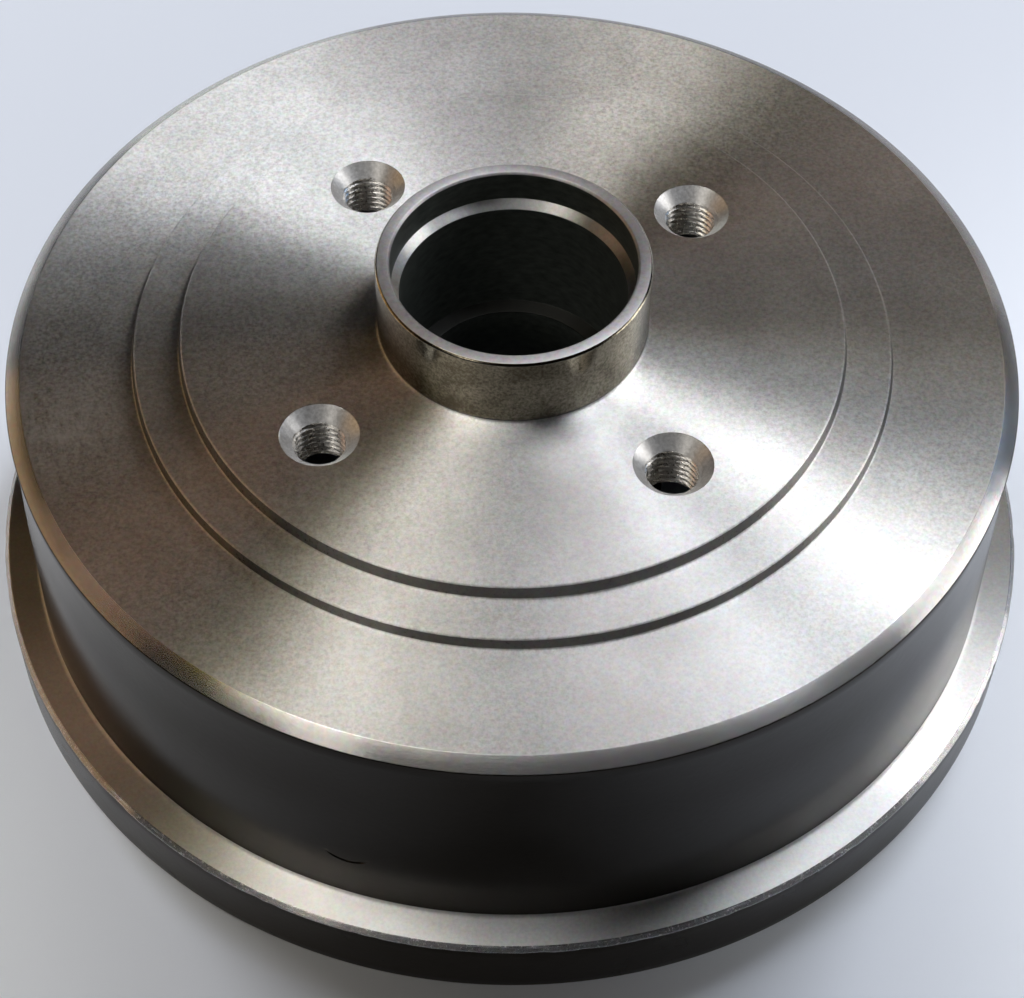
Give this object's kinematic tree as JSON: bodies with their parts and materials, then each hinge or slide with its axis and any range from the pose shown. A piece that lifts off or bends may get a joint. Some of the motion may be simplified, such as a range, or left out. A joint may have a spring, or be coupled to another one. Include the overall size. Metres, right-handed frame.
{
  "type": "brake drum",
  "caption": "Cast brake drum with integral bearing hub: stepped turned wheel face, centring collar, countersunk wheel-bolt holes, smooth wall and flanged open rim.",
  "frame": {"origin": "centre of the open rim's plane, on the axle line; the drum stands on its rim", "axes": "+Z along the axle towards the wheel; +X and +Y across the drum, with the bolt holes at 40, 130, 220 and 310 degrees from +X"},
  "size_m": [0.2294, 0.2294, 0.0922],
  "materials": {
    "grey_iron": "turned bright on the faces, as cast on the wall and flange edge"
  },
  "bodies": {
    "root": {"brake_drum": "grey_iron"}
  },
  "joints": []
}
